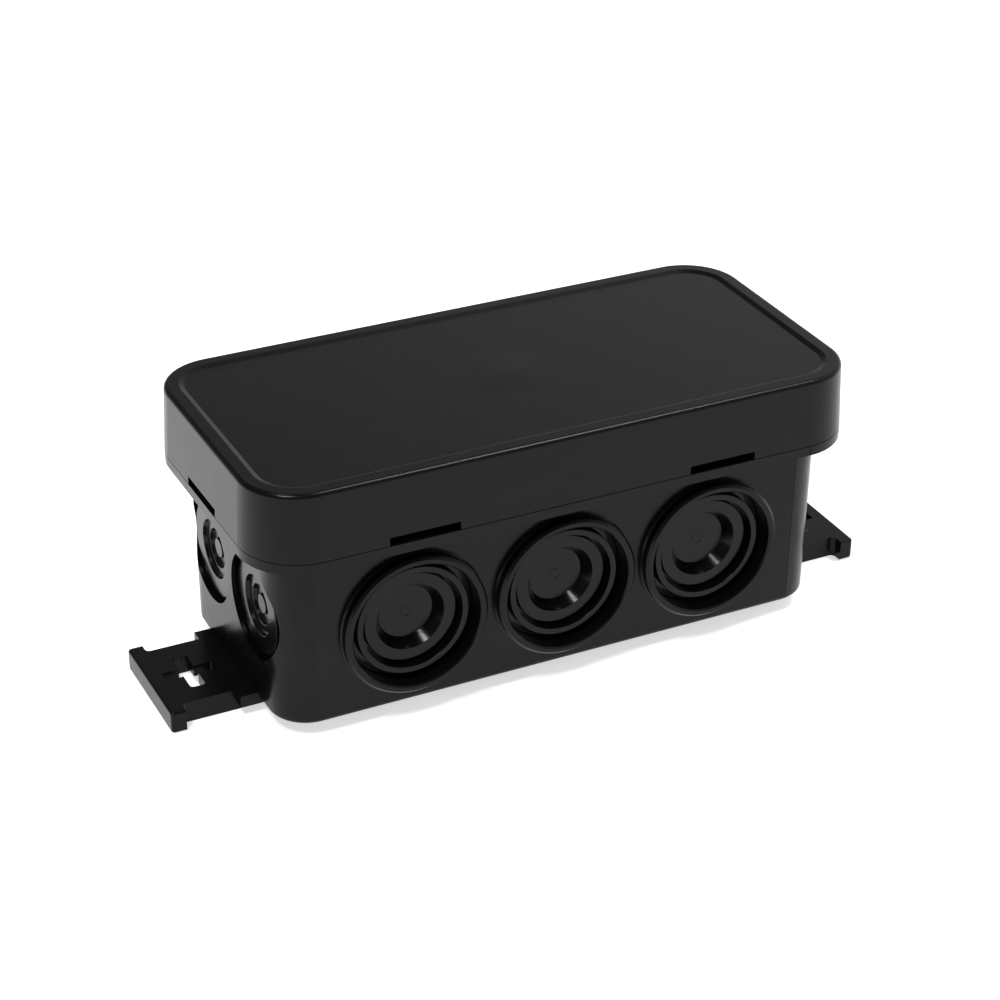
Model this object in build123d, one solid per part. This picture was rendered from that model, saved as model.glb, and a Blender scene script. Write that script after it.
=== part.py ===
"""Small surface-mounted junction box: a moulded base with a press-on lid, ten soft stepped
cable entries, two pull-out mounting lugs and a five-way terminal strip.

Frame: millimetres, +X along the box, -Y the front, +Z up; the origin is the middle of the
mounting plane. The lugs are drawn pulled out to their stops.
"""
import os
from math import radians, tan

from build123d import *

# ---- overall ---------------------------------------------------------------------------
total_height = 38.6
lid_length = 89.0
lid_width = 43.0
lid_corner_r = 8.5
lid_skirt = 9.7
lid_wall = 1.7
lid_top_thk = 1.9
lid_taper = 2.6
lid_edge_r = 0.65
lid_rim_width = 2.8
lid_panel_drop = 0.3
lid_panel_slope = 68.0
lid_window_length = 10.0
lid_window_height = 1.15
lid_window_x = 22.0
seam_gap = 0.12

# ---- base ------------------------------------------------------------------------------
lid_overhang_x = 3.5
lid_overhang_y = 3.65
body_corner_r = 5.5
body_taper = 0.6
wall = 1.8
end_wall = 2.1
floor_thk = 1.8
foot_height = 2.0
foot_inset_x = 2.6
foot_inset_y = 4.4
foot_rib = 1.6
base_edge_r = 0.8
flange_thk = 1.4
flange_setback = 0.2
rim_gap = 0.3
rim_wall = 1.7
rim_height = 6.3
latch_length = 8.0
latch_proud = 0.22
latch_height = 1.4
seam_inset = 5.0
seam_width = 0.16
seam_depth = 0.07

# ---- long-side cable entries -----------------------------------------------------------
entry_pitch = 22.3
entry_z = 14.5
entry_bore_r = 9.2
collar_r = 10.3
collar_height = 1.6
collar_root = 0.2
moat_width = 1.05
moat_depth = 1.6
ring_width = 0.9
groove_width = 0.45
groove_depth = 2.2
step_depth = 1.0
cone_r = 4.95
disc_r = 3.87
disc_depth = 2.6
gate_r = 0.85
gate_depth = 0.08
soft_thk = 1.1
seat_width = 1.3
fit = 0.05

# ---- end cable entries -----------------------------------------------------------------
end_entry_y = 8.05
end_entry_z = 16.15
end_bore_r = 7.45
end_lip = 0.35
end_seat = 2.2
end_moat_width = 0.55
end_moat_depth = 1.9
end_step_depth = 0.88
end_ring_r = 4.15
end_ring_depth = 1.82
end_disc_r = 2.85
end_disc_depth = 2.3
end_soft_thk = 1.0

# ---- mounting lugs ---------------------------------------------------------------------
lug_reach = 53.4
lug_thk = 3.1
lug_web = 1.7
lug_half_width = 7.05
lug_wing_half = 8.95
lug_wing_out = 2.65
lug_bar = 2.1
lug_bar_half = 8.9
lug_ear_half = 10.2
lug_ear_length = 2.6
lug_bar_r = 0.5
lug_notch_r = 0.7
lug_engage = 7.6
lug_slot_inset = 3.55
lug_slot_length = 7.8
lug_slot_width = 2.1
lug_slot_r = 0.5
lug_cross_length = 7.3
lug_cross_width = 1.9
lug_pocket_half = 4.5
slide_gap = 0.15
roof_thk = 1.4

# ---- terminal strip --------------------------------------------------------------------
ways = 5
way_pitch = 8.0
strip_width = 15.0
strip_height = 11.5
strip_wing = 2.0
post_height = 3.0
post_r = 2.6
clamp_side = 4.6
clamp_length = 12.0
clamp_bore_r = 1.5
clamp_gap = 0.1
wire_screw_r = 1.1
wire_screw_head_r = 1.6
wire_screw_y = 3.6
fix_screw_r = 1.0
fix_screw_head_r = 1.6

# ---- derived levels --------------------------------------------------------------------
body_length = lid_length - 2 * lid_overhang_x
body_width = lid_width - 2 * lid_overhang_y
lid_bottom_z = total_height - lid_skirt
flange_top_z = lid_bottom_z - seam_gap
flange_bottom_z = flange_top_z - flange_thk
floor_z = foot_height + floor_thk
wall_height = flange_bottom_z - foot_height
rim_top_z = lid_bottom_z + rim_height
lid_ceiling_z = total_height - lid_top_thk
rim_length = lid_length - 2 * (lid_wall + rim_gap)
rim_width = lid_width - 2 * (lid_wall + rim_gap)
rim_corner_r = lid_corner_r - lid_wall - rim_gap
lean = tan(radians(body_taper))
lug_bar_x = lug_reach - lug_bar
lug_inner_x = body_length / 2 - lug_engage
lug_slot_x = lug_bar_x - lug_slot_inset
lug_travel = lug_bar_x - body_length / 2 - 2 * slide_gap
roof_z = lug_thk + slide_gap
channel_inner_x = lug_inner_x - lug_travel - slide_gap
mouth_x = lug_inner_x + lug_ear_length + slide_gap
entry_xs = [-entry_pitch, 0.0, entry_pitch]
strip_length = ways * way_pitch
strip_z = floor_z + post_height
way_xs = [(i - (ways - 1) / 2) * way_pitch for i in range(ways)]
fix_xs = [way_xs[0] + way_pitch / 2, way_xs[-1] - way_pitch / 2]


def prism(length, width, radius, z0, height, taper=0.0):
    """Upright prism on a rounded rectangle; it leans outward by taper degrees as it rises."""
    outline = RectangleRounded(length, width, radius)
    return Pos(0, 0, z0) * extrude(outline, height, taper=-taper)


def block(x0, x1, y0, y1, z0, z1):
    """Axis-aligned block between two corners."""
    middle = Pos((x0 + x1) / 2, (y0 + y1) / 2, (z0 + z1) / 2)
    return middle * Box(abs(x1 - x0), abs(y1 - y0), abs(z1 - z0))


def side_wall(x, z, side):
    """Frame on a long wall's outer face: its local Z points outward (side -1 is the front)."""
    y = side * (body_width / 2 + (z - foot_height) * lean)
    return Pos(x, y, z) * Rot(-side * (90 + body_taper), 0, 0)


def end_face(y, z, side):
    """Frame on an end wall's outer face: its local Z points outward (side -1 is the left)."""
    x = side * (body_length / 2 + (z - foot_height) * lean)
    return Pos(x, y, z) * Rot(0, side * (90 + body_taper), 0)


def turned(points):
    """Solid of revolution about local Z from (radius, height) points."""
    face = make_face(Polyline(*[(r, 0, h) for r, h in points], close=True))
    return revolve(face, Axis.Z)


def mirrored_x(shape):
    """The same piece at the other end of the box."""
    return mirror(shape, about=Plane.YZ)


# ---- base housing ----------------------------------------------------------------------
def make_base():
    body = prism(body_length, body_width, body_corner_r, foot_height, wall_height, body_taper)
    body = fillet(body.faces().sort_by(Axis.Z)[0].edges(), base_edge_r)
    flange = prism(lid_length - 2 * flange_setback, lid_width - 2 * flange_setback,
                   lid_corner_r - flange_setback, flange_bottom_z, flange_thk)
    rim = prism(rim_length, rim_width, rim_corner_r, flange_top_z, rim_top_z - flange_top_z)
    base = body + flange + rim
    for x in entry_xs:
        for side in (-1, 1):
            collar = turned([(entry_bore_r, -wall / 2), (collar_r + collar_root, -wall / 2),
                             (collar_r + collar_root, 0.0), (collar_r, collar_root),
                             (collar_r, collar_height - 0.35),
                             (collar_r - 0.35, collar_height),
                             (entry_bore_r + 0.2, collar_height),
                             (entry_bore_r, collar_height - 0.2)])
            base += side_wall(x, entry_z, side) * collar
    base += make_foot()

    inner_length = body_length - 2 * end_wall + 2 * floor_thk * lean
    inner_width = body_width - 2 * wall + 2 * floor_thk * lean
    inner_r = body_corner_r - wall
    cavity = prism(inner_length, inner_width, inner_r, floor_z, wall_height - floor_thk,
                   body_taper)
    above = prism(rim_length - 2 * rim_wall, rim_width - 2 * rim_wall,
                  rim_corner_r - rim_wall, flange_top_z, rim_height + 1)
    throat = prism(inner_length, inner_width, inner_r, flange_bottom_z - 1, flange_thk + 1.2)
    base -= cavity + throat + above
    for x in entry_xs:
        for side in (-1, 1):
            bore = Cylinder(entry_bore_r, 2 * (wall + collar_height + 1))
            base -= side_wall(x, entry_z, side) * bore
    for y in (-end_entry_y, end_entry_y):
        for side in (-1, 1):
            bore = Cylinder(end_bore_r, 3 * end_wall)
            seat = Cylinder(end_bore_r + end_lip + fit, end_seat,
                            align=(Align.CENTER, Align.CENTER, Align.MAX))
            base -= end_face(y, end_entry_z, side) * (bore + Pos(0, 0, -end_wall) * seat)
    for channel in (lug_roof(), mirrored_x(lug_roof())):
        base += channel
    for channel in (lug_channel(), mirrored_x(lug_channel())):
        base -= channel
    for x in fix_xs:
        base += Pos(x, 0, strip_z - post_height) * Cylinder(
            post_r, post_height, align=(Align.CENTER, Align.CENTER, Align.MIN))
        base -= Pos(x, 0, floor_z) * Cylinder(
            fix_screw_r + fit, post_height + 1, align=(Align.CENTER, Align.CENTER, Align.MIN))
    for bead in latch_beads():
        base += bead
    for seam in parting_seams():
        base -= seam
    return base


def parting_seams():
    """Fine lines down the four corners where the slides of the mould met."""
    height = wall_height - base_edge_r
    z = foot_height + base_edge_r + height / 2
    seams = []
    for x in (-body_length / 2 + seam_inset, body_length / 2 - seam_inset):
        for side in (-1, 1):
            line = Box(seam_width, height, 2 * seam_depth)
            seams.append(side_wall(x, z, side) * line)
            y = side * (lid_width / 2 - flange_setback)
            seams.append(block(x - seam_width / 2, x + seam_width / 2, y - seam_depth,
                               y + seam_depth, flange_bottom_z - 1, flange_top_z + seam_depth))
    return seams


def make_foot():
    """Rib frame under the floor that carries the box and holds the two lug channels."""
    length = body_length - 2 * foot_inset_x
    width = body_width - 2 * foot_inset_y
    radius = max(body_corner_r - foot_inset_x, 1.0)
    ring = prism(length, width, radius, 0, foot_height + 0.2)
    hollow = prism(length - 2 * foot_rib, width - 2 * foot_rib,
                   max(radius - foot_rib, 0.5), -1, foot_height + 1)
    inner = channel_inner_x - foot_rib
    foot = ring - hollow
    for side in (-1, 1):
        foot += block(side * inner, side * length / 2, -width / 2, width / 2,
                      0, foot_height + 0.2) & prism(length, width, radius, 0, foot_height + 1)
    foot += block(-inner, inner, -foot_rib / 2, foot_rib / 2, 0, foot_height + 0.2)
    return foot


def lug_roof():
    """Raised floor over the right-hand lug channel."""
    half = lug_ear_half + slide_gap + 1.4
    x1 = body_length / 2 - end_wall / 2
    return block(channel_inner_x - 1.4, x1, -half, half, foot_height, roof_z + roof_thk)


def lug_channel():
    """Space in which the right-hand lug slides."""
    far = body_length
    web_z0 = lug_thk - lug_web - slide_gap
    plate = block(channel_inner_x, far, -lug_half_width - slide_gap,
                  lug_half_width + slide_gap, -1, roof_z)
    wings = block(channel_inner_x, far, -lug_wing_half - slide_gap,
                  lug_wing_half + slide_gap, web_z0, roof_z)
    ears = block(channel_inner_x, mouth_x, -lug_ear_half - slide_gap,
                 lug_ear_half + slide_gap, web_z0, roof_z)
    return plate + wings + ears


def latch_beads():
    """Low beads on the rim that the lid skirt snaps over."""
    z = lid_bottom_z + rim_height / 2
    beads = []
    for x in (-lid_window_x, lid_window_x):
        for side in (-1, 1):
            y = side * rim_width / 2
            beads.append(block(x - latch_length / 2, x + latch_length / 2,
                               y - latch_proud, y + latch_proud,
                               z - latch_height / 2, z + latch_height / 2))
    for side in (-1, 1):
        x = side * rim_length / 2
        beads.append(block(x - latch_proud, x + latch_proud,
                           -latch_length / 2, latch_length / 2,
                           z - latch_height / 2, z + latch_height / 2))
    return beads


# ---- lid -------------------------------------------------------------------------------
def make_lid():
    shell = prism(lid_length, lid_width, lid_corner_r, lid_bottom_z, lid_skirt, -lid_taper)
    top = shell.faces().sort_by(Axis.Z)[-1]
    shell = fillet(top.edges(), lid_edge_r)
    shrink = 2 * lid_skirt * tan(radians(lid_taper))
    panel = prism(lid_length - shrink - 2 * lid_rim_width,
                  lid_width - shrink - 2 * lid_rim_width,
                  lid_corner_r - shrink / 2 - lid_rim_width,
                  total_height - lid_panel_drop, lid_panel_drop + 0.1, lid_panel_slope)
    shell -= panel
    shell -= prism(lid_length - 2 * lid_wall, lid_width - 2 * lid_wall,
                   lid_corner_r - lid_wall, lid_bottom_z - 1,
                   lid_ceiling_z - lid_bottom_z + 1)
    seal_in = rim_wall + 2 * rim_gap
    web = prism(rim_length - 2 * seal_in, rim_width - 2 * seal_in, rim_corner_r - seal_in,
                rim_top_z - 1.6, lid_ceiling_z - rim_top_z + 1.7)
    web -= prism(rim_length - 2 * seal_in - 2.4, rim_width - 2 * seal_in - 2.4,
                 rim_corner_r - seal_in - 1.2, rim_top_z - 2, lid_skirt)
    shell += web
    for window in lid_windows():
        shell -= window
    return shell


def lid_windows():
    """Notches in the skirt's lower edge where a blade releases the lid."""
    z0 = lid_bottom_z - 1
    z1 = lid_bottom_z + lid_window_height
    half = lid_window_length / 2
    deep = lid_wall + rim_gap / 2
    cuts = []
    for x in (-lid_window_x, lid_window_x):
        for side in (-1, 1):
            y = side * lid_width / 2
            cuts.append(block(x - half, x + half, y - deep, y + deep, z0, z1))
    for side in (-1, 1):
        x = side * lid_length / 2
        cuts.append(block(x - deep, x + deep, -half, half, z0, z1))
    return cuts


def make_seal():
    outer = prism(rim_length, rim_width, rim_corner_r, rim_top_z, lid_ceiling_z - rim_top_z)
    inner = prism(rim_length - 2 * rim_wall, rim_width - 2 * rim_wall,
                  rim_corner_r - rim_wall, rim_top_z - 1, lid_skirt)
    return outer - inner


# ---- cable entries ---------------------------------------------------------------------
def side_membrane():
    """Stepped soft entry, seated from inside against the long wall."""
    r = entry_bore_r - fit
    ring = entry_bore_r - moat_width - fit
    groove = ring - ring_width
    step = groove - groove_width
    front = [(0, -disc_depth - gate_depth), (gate_r, -disc_depth - gate_depth),
             (gate_r + gate_depth, -disc_depth), (disc_r, -disc_depth),
             (cone_r, -step_depth), (step - 0.15, -step_depth), (step, -step_depth - 0.15),
             (step, -groove_depth), (groove, -groove_depth), (groove, -0.15),
             (groove + 0.15, 0.0), (ring - 0.15, 0.0), (ring, -0.15), (ring, -moat_depth),
             (r, -moat_depth)]
    flange = [(r, -wall), (r + seat_width, -wall), (r + seat_width, -wall - soft_thk),
              (ring + 0.15, -wall - soft_thk)]
    back = [(ring + 0.05, -groove_depth - soft_thk), (step - 0.6, -groove_depth - soft_thk),
            (step - 0.8, -step_depth - soft_thk), (cone_r + 0.45, -step_depth - soft_thk),
            (disc_r + 0.5, -disc_depth - soft_thk), (0, -disc_depth - soft_thk)]
    return turned(front + flange + back)


def end_membrane():
    """Stepped recessed entry, seated from inside against the end wall."""
    r = end_bore_r - fit
    outer = end_bore_r - end_moat_width - fit
    seat = end_bore_r + end_lip
    front = [(0, -end_disc_depth), (end_disc_r - 0.25, -end_disc_depth),
             (end_disc_r, -end_ring_depth), (end_ring_r, -end_ring_depth),
             (end_ring_r + 0.05, -end_step_depth), (outer - 0.1, -end_step_depth),
             (outer, -end_step_depth - 0.1), (outer, -end_moat_depth),
             (r, -end_moat_depth)]
    back = [(r, -end_wall), (seat, -end_wall), (seat, -end_wall - end_soft_thk),
            (outer - 0.7, -end_wall - end_soft_thk),
            (outer - 0.85, -end_step_depth - end_soft_thk),
            (end_ring_r + 0.95, -end_step_depth - end_soft_thk),
            (end_ring_r + 0.8, -end_disc_depth - end_soft_thk),
            (0, -end_disc_depth - end_soft_thk)]
    return turned(front + back)


# ---- mounting lug ----------------------------------------------------------------------
def make_lug():
    """Right-hand lug: a plate on webs, with a bar across its end and a cross slot."""
    plate = Pos((lug_inner_x + lug_bar_x) / 2 + lug_bar_r, 0) * Rectangle(
        lug_bar_x - lug_inner_x + 2 * lug_bar_r, 2 * lug_half_width)
    bar = Pos(lug_bar_x + lug_bar / 2, 0) * Rectangle(lug_bar, 2 * lug_bar_half)
    outline = plate + bar
    notches = [v for v in outline.vertices()
               if abs(v.X - lug_bar_x) < 0.01 and abs(v.Y) < lug_bar_half - 0.01]
    outline = fillet(notches, lug_notch_r)
    outline = fillet(outline.vertices().sort_by(Axis.X)[-2:], lug_bar_r)
    lug = extrude(outline, lug_thk)
    web_z0 = lug_thk - lug_web
    lug += block(lug_inner_x, body_length / 2 + lug_wing_out, -lug_wing_half, lug_wing_half,
                 web_z0, lug_thk)
    lug += block(lug_inner_x, lug_inner_x + lug_ear_length, -lug_ear_half, lug_ear_half,
                 web_z0, lug_thk)
    tip = lug.faces().sort_by(Axis.X)[-1]
    lug = fillet(tip.edges().filter_by(Axis.Y), 0.3)
    arm = RectangleRounded(lug_slot_width, lug_slot_length, lug_slot_r)
    cross = RectangleRounded(lug_cross_length, lug_cross_width, lug_slot_r / 2)
    hole = extrude(Pos(lug_slot_x, 0, -lug_thk) * (arm + cross), 3 * lug_thk)
    pocket = block(lug_slot_x - lug_cross_length / 2, lug_slot_x + lug_cross_length / 2,
                   -lug_pocket_half, lug_pocket_half, -1, web_z0)
    return lug - hole - pocket


# ---- terminal strip --------------------------------------------------------------------
def make_strip():
    half = strip_width / 2
    strip = block(-strip_length / 2, strip_length / 2, -half, half,
                  strip_z, strip_z + strip_height)
    pocket_z = strip_z + strip_wing
    for x in way_xs:
        side = clamp_side / 2 + clamp_gap
        strip -= block(x - side, x + side, -half - 1, half + 1, pocket_z,
                       pocket_z + clamp_side + 2 * clamp_gap)
        for y in (-wire_screw_y, wire_screw_y):
            strip -= Pos(x, y, strip_z + strip_height) * Cylinder(
                wire_screw_head_r + 0.3, 2 * (strip_height - strip_wing - clamp_side))
    for x in fix_xs:
        strip -= Pos(x, 0, strip_z + strip_height / 2) * Cylinder(
            fix_screw_r + 0.3, strip_height + 2)
        strip -= Pos(x, 0, strip_z + strip_height) * Cylinder(
            fix_screw_head_r + 0.2, 2 * (strip_height - 4.0))
    for i in range(ways - 1):
        x = way_xs[i] + way_pitch / 2
        for side in (-1, 1):
            strip -= block(x - 0.5, x + 0.5, side * (half - 1.2), side * (half + 1),
                           strip_z - 1, strip_z + strip_height + 1)
    return strip


def make_clamp(x):
    z = strip_z + strip_wing + clamp_side / 2
    clamp = Pos(x, 0, z) * Box(clamp_side, clamp_length, clamp_side)
    clamp -= Pos(x, 0, z) * Rot(90, 0, 0) * Cylinder(clamp_bore_r, clamp_length + 2)
    for y in (-wire_screw_y, wire_screw_y):
        clamp -= Pos(x, y, z + clamp_side / 2) * Cylinder(
            wire_screw_r + fit, clamp_side)
    return clamp


def screw(x, y, tip_z, seat_z, shank_r, head_r, head_h):
    shank = Pos(x, y, tip_z) * Cylinder(shank_r, seat_z - tip_z,
                                        align=(Align.CENTER, Align.CENTER, Align.MIN))
    head = Pos(x, y, seat_z) * Cylinder(head_r, head_h,
                                        align=(Align.CENTER, Align.CENTER, Align.MIN))
    slot = Pos(x, y, seat_z + head_h) * Box(2 * head_r + 1, 0.5, 0.8)
    return shank + head - slot


def clamp_screws():
    top = strip_z + strip_wing + clamp_side
    return [screw(x, y, top - 1.6, top + clamp_gap + 0.6, wire_screw_r, wire_screw_head_r, 1.6)
            for x in way_xs for y in (-wire_screw_y, wire_screw_y)]


def strip_screws():
    return [screw(x, 0, floor_z + 0.4, strip_z + 4.0, fix_screw_r, fix_screw_head_r, 1.4)
            for x in fix_xs]


# ---- the whole part --------------------------------------------------------------------
def build():
    nodes = {
        "base_housing": make_base(),
        "lid": make_lid(),
        "lid_seal": make_seal(),
        "mounting_lug_right": make_lug(),
        "mounting_lug_left": mirrored_x(make_lug()),
        "terminal_strip": make_strip(),
        "clamp_screws": Compound(children=clamp_screws()),
        "strip_fixing_screws": Compound(children=strip_screws()),
    }
    for side, face in ((-1, "front"), (1, "back")):
        for x, place in zip(entry_xs, ("left", "centre", "right")):
            spot = side_wall(x, entry_z, side)
            nodes[f"membrane_{face}_{place}"] = spot * side_membrane()
    for side, end in ((-1, "left"), (1, "right")):
        for y, place in ((-end_entry_y, "front"), (end_entry_y, "back")):
            spot = end_face(y, end_entry_z, side)
            nodes[f"membrane_{end}_end_{place}"] = spot * end_membrane()
    for number, x in enumerate(way_xs, start=1):
        nodes[f"terminal_clamp_{number}"] = make_clamp(x)
    return nodes


os.makedirs("parts", exist_ok=True)
for name, shape in build().items():
    export_step(shape, f"parts/{name}.step")
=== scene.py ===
import math

import bmesh
import bpy
import mathutils
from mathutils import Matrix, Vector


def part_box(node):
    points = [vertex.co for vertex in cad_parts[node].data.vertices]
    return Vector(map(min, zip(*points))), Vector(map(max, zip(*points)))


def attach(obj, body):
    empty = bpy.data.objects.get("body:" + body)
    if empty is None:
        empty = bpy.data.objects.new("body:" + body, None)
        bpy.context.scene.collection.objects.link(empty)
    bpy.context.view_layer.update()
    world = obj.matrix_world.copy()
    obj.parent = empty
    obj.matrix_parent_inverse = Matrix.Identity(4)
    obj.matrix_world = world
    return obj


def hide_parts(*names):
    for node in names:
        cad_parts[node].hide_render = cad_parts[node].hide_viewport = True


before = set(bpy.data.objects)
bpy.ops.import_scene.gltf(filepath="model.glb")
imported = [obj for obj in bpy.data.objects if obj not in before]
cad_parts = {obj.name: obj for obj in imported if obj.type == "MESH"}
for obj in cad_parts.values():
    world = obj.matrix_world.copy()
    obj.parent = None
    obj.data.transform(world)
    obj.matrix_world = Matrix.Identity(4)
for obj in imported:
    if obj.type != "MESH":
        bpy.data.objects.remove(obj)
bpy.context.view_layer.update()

MM = 0.001


# ---- materials -------------------------------------------------------------------------
def new_material(name):
    material = bpy.data.materials.new(name)
    material.use_nodes = True
    tree = material.node_tree
    shader = next(n for n in tree.nodes if n.type == "BSDF_PRINCIPLED")
    return material, tree, shader


def link_noise(tree, coords, scale, detail=4.0, stretch=(1.0, 1.0, 1.0)):
    """Noise factor in object space, with the wanted scale per metre."""
    mapping = tree.nodes.new("ShaderNodeMapping")
    mapping.inputs["Scale"].default_value = stretch
    noise = tree.nodes.new("ShaderNodeTexNoise")
    noise.inputs["Scale"].default_value = scale
    noise.inputs["Detail"].default_value = detail
    tree.links.new(coords.outputs["Object"], mapping.inputs["Vector"])
    tree.links.new(mapping.outputs["Vector"], noise.inputs["Vector"])
    return noise.outputs["Fac"]


def moulded_plastic(name, dark, light, rough, rough_span, grain, ripple=0.0, gloss=0.5):
    """Moulded plastic: fine texture in the bump, faint flow variation in colour and gloss."""
    material, tree, shader = new_material(name)
    coords = tree.nodes.new("ShaderNodeTexCoord")
    flow = link_noise(tree, coords, 240.0, 3.0, (1.0, 1.6, 1.6))
    ramp = tree.nodes.new("ShaderNodeValToRGB")
    ramp.color_ramp.elements[0].position = 0.3
    ramp.color_ramp.elements[0].color = (*dark, 1)
    ramp.color_ramp.elements[1].position = 0.7
    ramp.color_ramp.elements[1].color = (*light, 1)
    tree.links.new(flow, ramp.inputs["Fac"])
    tree.links.new(ramp.outputs["Color"], shader.inputs["Base Color"])
    smear = link_noise(tree, coords, 420.0, 5.0)
    spread = tree.nodes.new("ShaderNodeMapRange")
    spread.inputs["From Min"].default_value = 0.3
    spread.inputs["From Max"].default_value = 0.7
    spread.inputs["To Min"].default_value = rough - rough_span
    spread.inputs["To Max"].default_value = rough + rough_span
    tree.links.new(smear, spread.inputs["Value"])
    tree.links.new(spread.outputs["Result"], shader.inputs["Roughness"])
    fine = link_noise(tree, coords, 5200.0, 2.0)
    bump = tree.nodes.new("ShaderNodeBump")
    bump.inputs["Strength"].default_value = grain
    bump.inputs["Distance"].default_value = 0.00002
    tree.links.new(fine, bump.inputs["Height"])
    last = bump
    if ripple:
        wave = link_noise(tree, coords, 130.0, 1.0)
        swell = tree.nodes.new("ShaderNodeBump")
        swell.inputs["Strength"].default_value = ripple
        swell.inputs["Distance"].default_value = 0.0003
        tree.links.new(wave, swell.inputs["Height"])
        tree.links.new(bump.outputs["Normal"], swell.inputs["Normal"])
        last = swell
    tree.links.new(last.outputs["Normal"], shader.inputs["Normal"])
    shader.inputs["Specular IOR Level"].default_value = gloss
    return material


def centre_dimple(material, radius, depth):
    """Soft sink mark in the middle of a panel, in object space."""
    tree = material.node_tree
    shader = next(n for n in tree.nodes if n.type == "BSDF_PRINCIPLED")
    before = shader.inputs["Normal"].links[0].from_socket
    coords = tree.nodes.new("ShaderNodeTexCoord")
    flat = tree.nodes.new("ShaderNodeVectorMath")
    flat.operation = "MULTIPLY"
    flat.inputs[1].default_value = (1, 1, 0)
    reach = tree.nodes.new("ShaderNodeVectorMath")
    reach.operation = "LENGTH"
    fall = tree.nodes.new("ShaderNodeMapRange")
    fall.interpolation_type = "SMOOTHSTEP"
    fall.inputs["From Max"].default_value = radius
    fall.inputs["To Min"].default_value = 1.0
    fall.inputs["To Max"].default_value = 0.0
    sink = tree.nodes.new("ShaderNodeBump")
    sink.inputs["Strength"].default_value = 1.0
    sink.inputs["Distance"].default_value = depth
    tree.links.new(coords.outputs["Object"], flat.inputs[0])
    tree.links.new(flat.outputs["Vector"], reach.inputs[0])
    tree.links.new(reach.outputs["Value"], fall.inputs["Value"])
    tree.links.new(fall.outputs["Result"], sink.inputs["Height"])
    tree.links.new(before, sink.inputs["Normal"])
    tree.links.new(sink.outputs["Normal"], shader.inputs["Normal"])


def metal(name, colour, rough, scale):
    material, tree, shader = new_material(name)
    coords = tree.nodes.new("ShaderNodeTexCoord")
    lines = link_noise(tree, coords, scale, 6.0, (1.0, 0.08, 1.0))
    spread = tree.nodes.new("ShaderNodeMapRange")
    spread.inputs["To Min"].default_value = rough * 0.7
    spread.inputs["To Max"].default_value = rough * 1.4
    tree.links.new(lines, spread.inputs["Value"])
    tree.links.new(spread.outputs["Result"], shader.inputs["Roughness"])
    shader.inputs["Base Color"].default_value = (*colour, 1)
    shader.inputs["Metallic"].default_value = 1.0
    return material


DEEP_BLACK = (0.0022, 0.0022, 0.0024)
PALE_BLACK = (0.0034, 0.0034, 0.0036)
SMOOTH_BLACK = (0.0030, 0.0030, 0.0032)

housing = moulded_plastic("housing_black", DEEP_BLACK, PALE_BLACK, 0.24, 0.02, 0.2, 0.03, 0.17)
lid_black = moulded_plastic("lid_black", DEEP_BLACK, PALE_BLACK, 0.25, 0.015, 0.14, 0.01, 0.17)
centre_dimple(lid_black, 0.0075, 0.00008)
soft_black = moulded_plastic("membrane_black", DEEP_BLACK, SMOOTH_BLACK, 0.18, 0.02, 0.10, 0.0,
                             0.19)
strip_grey = moulded_plastic("strip_grey", (0.55, 0.54, 0.50), (0.63, 0.62, 0.58),
                             0.5, 0.06, 0.3)
brass = metal("clamp_brass", (0.72, 0.52, 0.22), 0.28, 900.0)
zinc = metal("screw_zinc", (0.62, 0.62, 0.63), 0.32, 900.0)


def dress(obj, material):
    obj.data.materials.clear()
    obj.data.materials.append(material)


def material_for(node):
    if node == "lid":
        return lid_black
    if node.startswith("membrane") or node == "lid_seal":
        return soft_black
    if node == "terminal_strip":
        return strip_grey
    if node.startswith("terminal_clamp"):
        return brass
    if node.endswith("screws"):
        return zinc
    return housing


for node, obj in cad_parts.items():
    dress(obj, material_for(node))


# ---- base: the flange drawn out to the lid's face, in millimetres ----------------------
BODY_TAPER = math.radians(0.6)
BODY_HALF_WIDTH = 17.85
BODY_HALF_LENGTH = 41.0
BODY_FOOT_Z = 2.0
FLANGE_Z = (27.3, 28.85)
CORNER_X = 36.0
CORNER_Y = 13.0
FLANGE_R = 8.3
FLANGE_OUT = 0.19
FLANGE_EDGE = 0.5
SEAM_HALF = 0.09
SEAM_DEPTH = 0.12
MERGE = 0.002
THIN_EDGE = 0.001
SHARP_DEG = 28


def wall_y(z):
    """Half width of the body at height z, in millimetres."""
    return BODY_HALF_WIDTH + (z - BODY_FOOT_Z) * math.tan(BODY_TAPER)


def dressed_base_point(x, y, z):
    """Where a point of the base goes, in millimetres: the flange stands level with the
    lid's skirt, and the parting lines at the left end are closed."""
    left_seam = abs(x + CORNER_X) < SEAM_HALF
    if FLANGE_Z[0] < z < FLANGE_Z[1]:
        dx = max(abs(x) - CORNER_X, 0.0)
        dy = max(abs(y) - CORNER_Y, 0.0)
        reach = math.hypot(dx, dy)
        if reach > FLANGE_R - FLANGE_EDGE:
            if left_seam:
                dx, dy, reach = 0.0, FLANGE_R, FLANGE_R
            grow = FLANGE_OUT / reach
            far = FLANGE_R - reach if left_seam else 0.0
            x += math.copysign(dx * grow, x)
            y = math.copysign(CORNER_Y + dy + dy * grow + far, y) if dy else y
            return x, y, z
    if left_seam and abs(abs(y) - wall_y(z)) < SEAM_DEPTH:
        y = math.copysign(wall_y(z), y)
    return x, y, z


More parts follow.
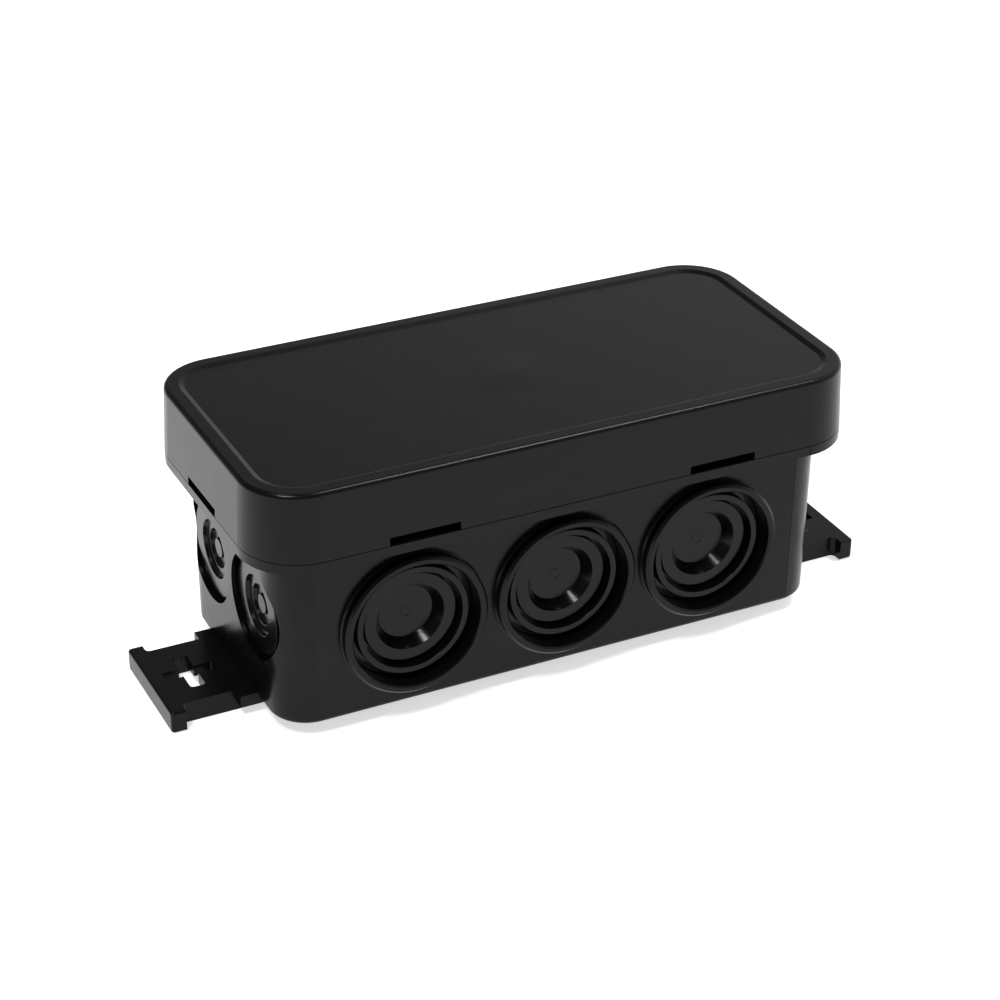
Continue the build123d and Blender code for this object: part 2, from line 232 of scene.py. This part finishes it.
def dressed_base():
    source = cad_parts["base_housing"]
    mesh = bpy.data.meshes.new("base_shell")
    edit = bmesh.new()
    edit.from_mesh(source.data)
    for vert in edit.verts:
        spot = dressed_base_point(*(value / MM for value in vert.co))
        vert.co = [value * MM for value in spot]
    bmesh.ops.remove_doubles(edit, verts=edit.verts, dist=MERGE * MM)
    bmesh.ops.dissolve_degenerate(edit, edges=edit.edges, dist=THIN_EDGE * MM)
    edit.to_mesh(mesh)
    edit.free()
    for layer in ("custom_normal", "sharp_face"):
        if layer in mesh.attributes:
            mesh.attributes.remove(mesh.attributes[layer])
    for polygon in mesh.polygons:
        polygon.use_smooth = True
    mesh.set_sharp_from_angle(angle=math.radians(SHARP_DEG))
    shell = bpy.data.objects.new("base_shell", mesh)
    bpy.context.scene.collection.objects.link(shell)
    even = shell.modifiers.new("even_normals", "WEIGHTED_NORMAL")
    even.keep_sharp = True
    dress(shell, housing)
    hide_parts("base_housing")
    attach(shell, "box")


# ---- soft cable entries: (radius, height) from the axis and the wall's face, in mm -----
SIDE_ENTRY = [(0, -2.64), (0.7, -2.64), (0.8, -2.59), (1.45, -2.59), (1.55, -2.6), (3.87, -2.6),
              (4.95, -1.0), (6.6, -1.0), (6.65, -2.2), (7.15, -2.2), (7.2, 0.0), (8.05, 0.0),
              (8.1, -1.6), (9.15, -1.6), (9.15, -1.8), (10.45, -1.8), (10.45, -2.9),
              (8.25, -2.9), (8.15, -3.3), (6.1, -3.3), (5.85, -2.1), (5.4, -2.1),
              (4.4, -3.7), (0, -3.7)]
END_ENTRY = [(0, -1.42), (1.35, -1.42), (1.45, -1.78), (2.6, -1.78), (2.85, -1.28),
             (4.0, -1.28), (4.25, -0.76), (6.8, -0.76), (6.85, -1.9), (7.4, -1.9),
             (7.4, -2.1), (7.8, -2.1), (7.8, -3.1), (6.15, -3.1), (6.0, -1.9), (5.1, -1.9),
             (4.95, -3.3), (0, -3.3)]
EDGE_R = 0.07
TURNS = 96


def unit(a, b):
    size = math.hypot(b[0] - a[0], b[1] - a[1])
    return (b[0] - a[0]) / size, (b[1] - a[1]) / size, size


def rounded(points, radius, steps=3):
    """Profile with arcs at its corners: (radius, height, normal) rows, normals exact."""
    rows = []
    for i, spot in enumerate(points):
        if i == 0 or i == len(points) - 1:
            rows.append((*spot, 0.0, 1.0 if i == 0 else -1.0))
            continue
        bx, by, blen = unit(points[i - 1], spot)
        nx, ny, nlen = unit(spot, points[i + 1])
        turn = math.atan2(bx * ny - by * nx, bx * nx + by * ny)
        trim = min(radius * math.tan(abs(turn) / 2), 0.4 * blen, 0.4 * nlen)
        start = (spot[0] - bx * trim, spot[1] - by * trim)
        bend = trim / math.tan(turn / 2)
        centre = (start[0] - by * bend, start[1] + bx * bend)
        first = math.atan2(by, bx)
        for k in range(steps + 1):
            angle = first + turn * k / steps
            normal = (-math.sin(angle), math.cos(angle))
            rows.append((centre[0] - normal[0] * bend, centre[1] - normal[1] * bend, *normal))
    return rows


def turned_piece(name, profile, place):
    """Revolved mesh from a rounded profile, set in the wall by a matrix."""
    rows = rounded(profile, EDGE_R)
    verts = []
    normals = []
    faces = []
    rings = []
    for r, h, nr, nh in rows:
        count = 1 if r < 1e-6 else TURNS
        rings.append((len(verts), count))
        for k in range(count):
            angle = 2 * math.pi * k / TURNS
            c, s = math.cos(angle), math.sin(angle)
            verts.append(place @ mathutils.Vector((r * c * MM, r * s * MM, h * MM)))
            normals.append((place.to_3x3() @ mathutils.Vector((nr * c, nr * s, nh))).normalized())
    for (a, na), (b, nb) in zip(rings, rings[1:]):
        for k in range(TURNS):
            j = (k + 1) % TURNS
            if na == 1:
                faces.append((a, b + k, b + j))
            elif nb == 1:
                faces.append((a + k, b, a + j))
            else:
                faces.append((a + k, b + k, b + j, a + j))
    mesh = bpy.data.meshes.new(name)
    mesh.from_pydata(verts, [], faces)
    for polygon in mesh.polygons:
        polygon.use_smooth = True
    mesh.normals_split_custom_set_from_vertices(normals)
    piece = bpy.data.objects.new(name, mesh)
    bpy.context.scene.collection.objects.link(piece)
    return piece


def entry_place(node):
    """Matrix of the wall's face at an entry: local Z points out of the wall."""
    low, high = (mathutils.Vector(corner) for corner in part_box(node))
    middle = (low + high) / 2
    z = middle.z
    if "_end_" in node:
        side = math.copysign(1.0, middle.x)
        face = BODY_HALF_LENGTH + (z / MM - BODY_FOOT_Z) * math.tan(BODY_TAPER)
        turn = mathutils.Matrix.Rotation(side * (math.pi / 2 + BODY_TAPER), 4, "Y")
        return mathutils.Matrix.Translation((side * face * MM, middle.y, z)) @ turn
    side = math.copysign(1.0, middle.y)
    turn = mathutils.Matrix.Rotation(-side * (math.pi / 2 + BODY_TAPER), 4, "X")
    return mathutils.Matrix.Translation((middle.x, side * wall_y(z / MM) * MM, z)) @ turn


def soft_entries():
    for node in sorted(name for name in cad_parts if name.startswith("membrane_")):
        profile = END_ENTRY if "_end_" in node else SIDE_ENTRY
        piece = turned_piece(node.replace("membrane", "entry"), profile, entry_place(node))
        dress(piece, soft_black)
        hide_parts(node)
        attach(piece, "box")


dressed_base()
soft_entries()


# ---- camera ----------------------------------------------------------------------------
def set_camera(azimuth, elevation, roll, distance, target, focal_px):
    """Camera by the direction that it looks from, in degrees, with its target in metres."""
    az, el, ro = (math.radians(v) for v in (azimuth, elevation, roll))
    back = mathutils.Vector((math.sin(az) * math.cos(el), -math.cos(az) * math.cos(el),
                             math.sin(el)))
    right = mathutils.Vector((0, 0, 1)).cross(back).normalized()
    up = back.cross(right)
    rolled = right * math.cos(ro) + up * math.sin(ro)
    top = up * math.cos(ro) - right * math.sin(ro)
    data = bpy.data.cameras.new("camera")
    data.sensor_width = 36.0
    data.lens = 36.0 * focal_px / 1000.0
    data.clip_start = 0.01
    data.clip_end = 20.0
    camera = bpy.data.objects.new("camera", data)
    bpy.context.scene.collection.objects.link(camera)
    place = mathutils.Matrix((rolled, top, back)).transposed().to_4x4()
    place.translation = mathutils.Vector(target) + back * distance
    camera.matrix_world = place
    bpy.context.scene.camera = camera
    return camera


# The camera's fit has its zero 2.3 mm above the mounting plane.
set_camera(-26.45, 29.39, 0.48, 351.39 * MM, (-0.78 * MM, 0.0, (16.07 + 2.3) * MM), 2511.98)


# ---- floor and light -------------------------------------------------------------------
FLOOR_GLOW = 0.62


def pale_floor():
    """Plain floor that the camera and glossy rays see as white, and that keeps a shadow."""
    mesh = bpy.data.meshes.new("floor")
    half = 3.0
    mesh.from_pydata([(-half, -half, 0), (half, -half, 0), (half, half, 0), (-half, half, 0)],
                     [], [(0, 1, 2, 3)])
    floor = bpy.data.objects.new("floor", mesh)
    bpy.context.scene.collection.objects.link(floor)
    floor.location.z = -0.00005
    material, tree, shader = new_material("floor_white")
    shader.inputs["Base Color"].default_value = (0.8, 0.8, 0.8, 1)
    shader.inputs["Roughness"].default_value = 1.0
    shader.inputs["Specular IOR Level"].default_value = 0.0
    out = next(n for n in tree.nodes if n.type == "OUTPUT_MATERIAL")
    glow = tree.nodes.new("ShaderNodeEmission")
    path = tree.nodes.new("ShaderNodeLightPath")
    add = tree.nodes.new("ShaderNodeAddShader")
    seen = tree.nodes.new("ShaderNodeMath")
    seen.operation = "MAXIMUM"
    scaled = tree.nodes.new("ShaderNodeMath")
    scaled.operation = "MULTIPLY"
    scaled.inputs[1].default_value = FLOOR_GLOW
    tree.links.new(path.outputs["Is Camera Ray"], seen.inputs[0])
    tree.links.new(path.outputs["Is Transmission Ray"], seen.inputs[1])
    glossy = tree.nodes.new("ShaderNodeMath")
    glossy.operation = "MAXIMUM"
    tree.links.new(seen.outputs["Value"], glossy.inputs[0])
    tree.links.new(path.outputs["Is Glossy Ray"], glossy.inputs[1])
    tree.links.new(glossy.outputs["Value"], scaled.inputs[0])
    tree.links.new(scaled.outputs["Value"], glow.inputs["Strength"])
    tree.links.new(shader.outputs["BSDF"], add.inputs[0])
    tree.links.new(glow.outputs["Emission"], add.inputs[1])
    tree.links.new(add.outputs["Shader"], out.inputs["Surface"])
    mesh.materials.append(material)


def area_light(name, place, aim, size, power, colour=(1, 1, 1)):
    data = bpy.data.lights.new(name, "AREA")
    data.shape = "RECTANGLE"
    data.size, data.size_y = size
    data.energy = power
    data.color = colour
    lamp = bpy.data.objects.new(name, data)
    bpy.context.scene.collection.objects.link(lamp)
    lamp.location = place
    direction = mathutils.Vector(aim) - mathutils.Vector(place)
    lamp.rotation_euler = direction.to_track_quat("-Z", "Y").to_euler()
    return lamp


def spot_light(name, place, aim, cone_deg, power):
    data = bpy.data.lights.new(name, "SPOT")
    data.energy = power
    data.spot_size = math.radians(cone_deg)
    data.spot_blend = 0.8
    data.shadow_soft_size = 0.04
    lamp = bpy.data.objects.new(name, data)
    bpy.context.scene.collection.objects.link(lamp)
    lamp.location = place
    direction = mathutils.Vector(aim) - mathutils.Vector(place)
    lamp.rotation_euler = direction.to_track_quat("-Z", "Y").to_euler()
    return lamp


def studio_world(low, high, low_deg, high_deg, right):
    """Even studio light: pale round the horizon, dimmer overhead, a little lighter at the right."""
    world = bpy.data.worlds.new("world")
    world.use_nodes = True
    tree = world.node_tree
    back = next(n for n in tree.nodes if n.type == "BACKGROUND")
    coords = tree.nodes.new("ShaderNodeTexCoord")
    split = tree.nodes.new("ShaderNodeSeparateXYZ")
    fade = tree.nodes.new("ShaderNodeMapRange")
    fade.interpolation_type = "SMOOTHSTEP"
    fade.inputs["From Min"].default_value = math.sin(math.radians(low_deg))
    fade.inputs["From Max"].default_value = math.sin(math.radians(high_deg))
    fade.inputs["To Min"].default_value = low
    fade.inputs["To Max"].default_value = high
    side = tree.nodes.new("ShaderNodeMapRange")
    side.inputs["From Min"].default_value = 0.15
    side.inputs["From Max"].default_value = 0.75
    side.inputs["To Max"].default_value = right
    total = tree.nodes.new("ShaderNodeMath")
    tree.links.new(coords.outputs["Generated"], split.inputs["Vector"])
    tree.links.new(split.outputs["Z"], fade.inputs["Value"])
    tree.links.new(split.outputs["X"], side.inputs["Value"])
    tree.links.new(fade.outputs["Result"], total.inputs[0])
    tree.links.new(side.outputs["Result"], total.inputs[1])
    tree.links.new(total.outputs["Value"], back.inputs["Strength"])
    back.inputs["Color"].default_value = (1, 1, 1, 1)
    bpy.context.scene.world = world


bpy.context.scene.view_settings.view_transform = "Standard"
studio_world(0.32, 0.18, 4.0, 30.0, 0.6)
pale_floor()
middle = (0, 0, 0.018)
area_light("top_box", (0.34, -0.06, 0.82), middle, (0.34, 0.20), 3.3)
area_light("key_box", (-0.34, -0.23, 0.69), middle, (0.14, 0.14), 3.0, (1.0, 0.95, 0.97))
spot_light("back_pool", (-0.13, 0.12, 0.60), (-0.10, 0.055, 0.0), 20.0, 5.0)
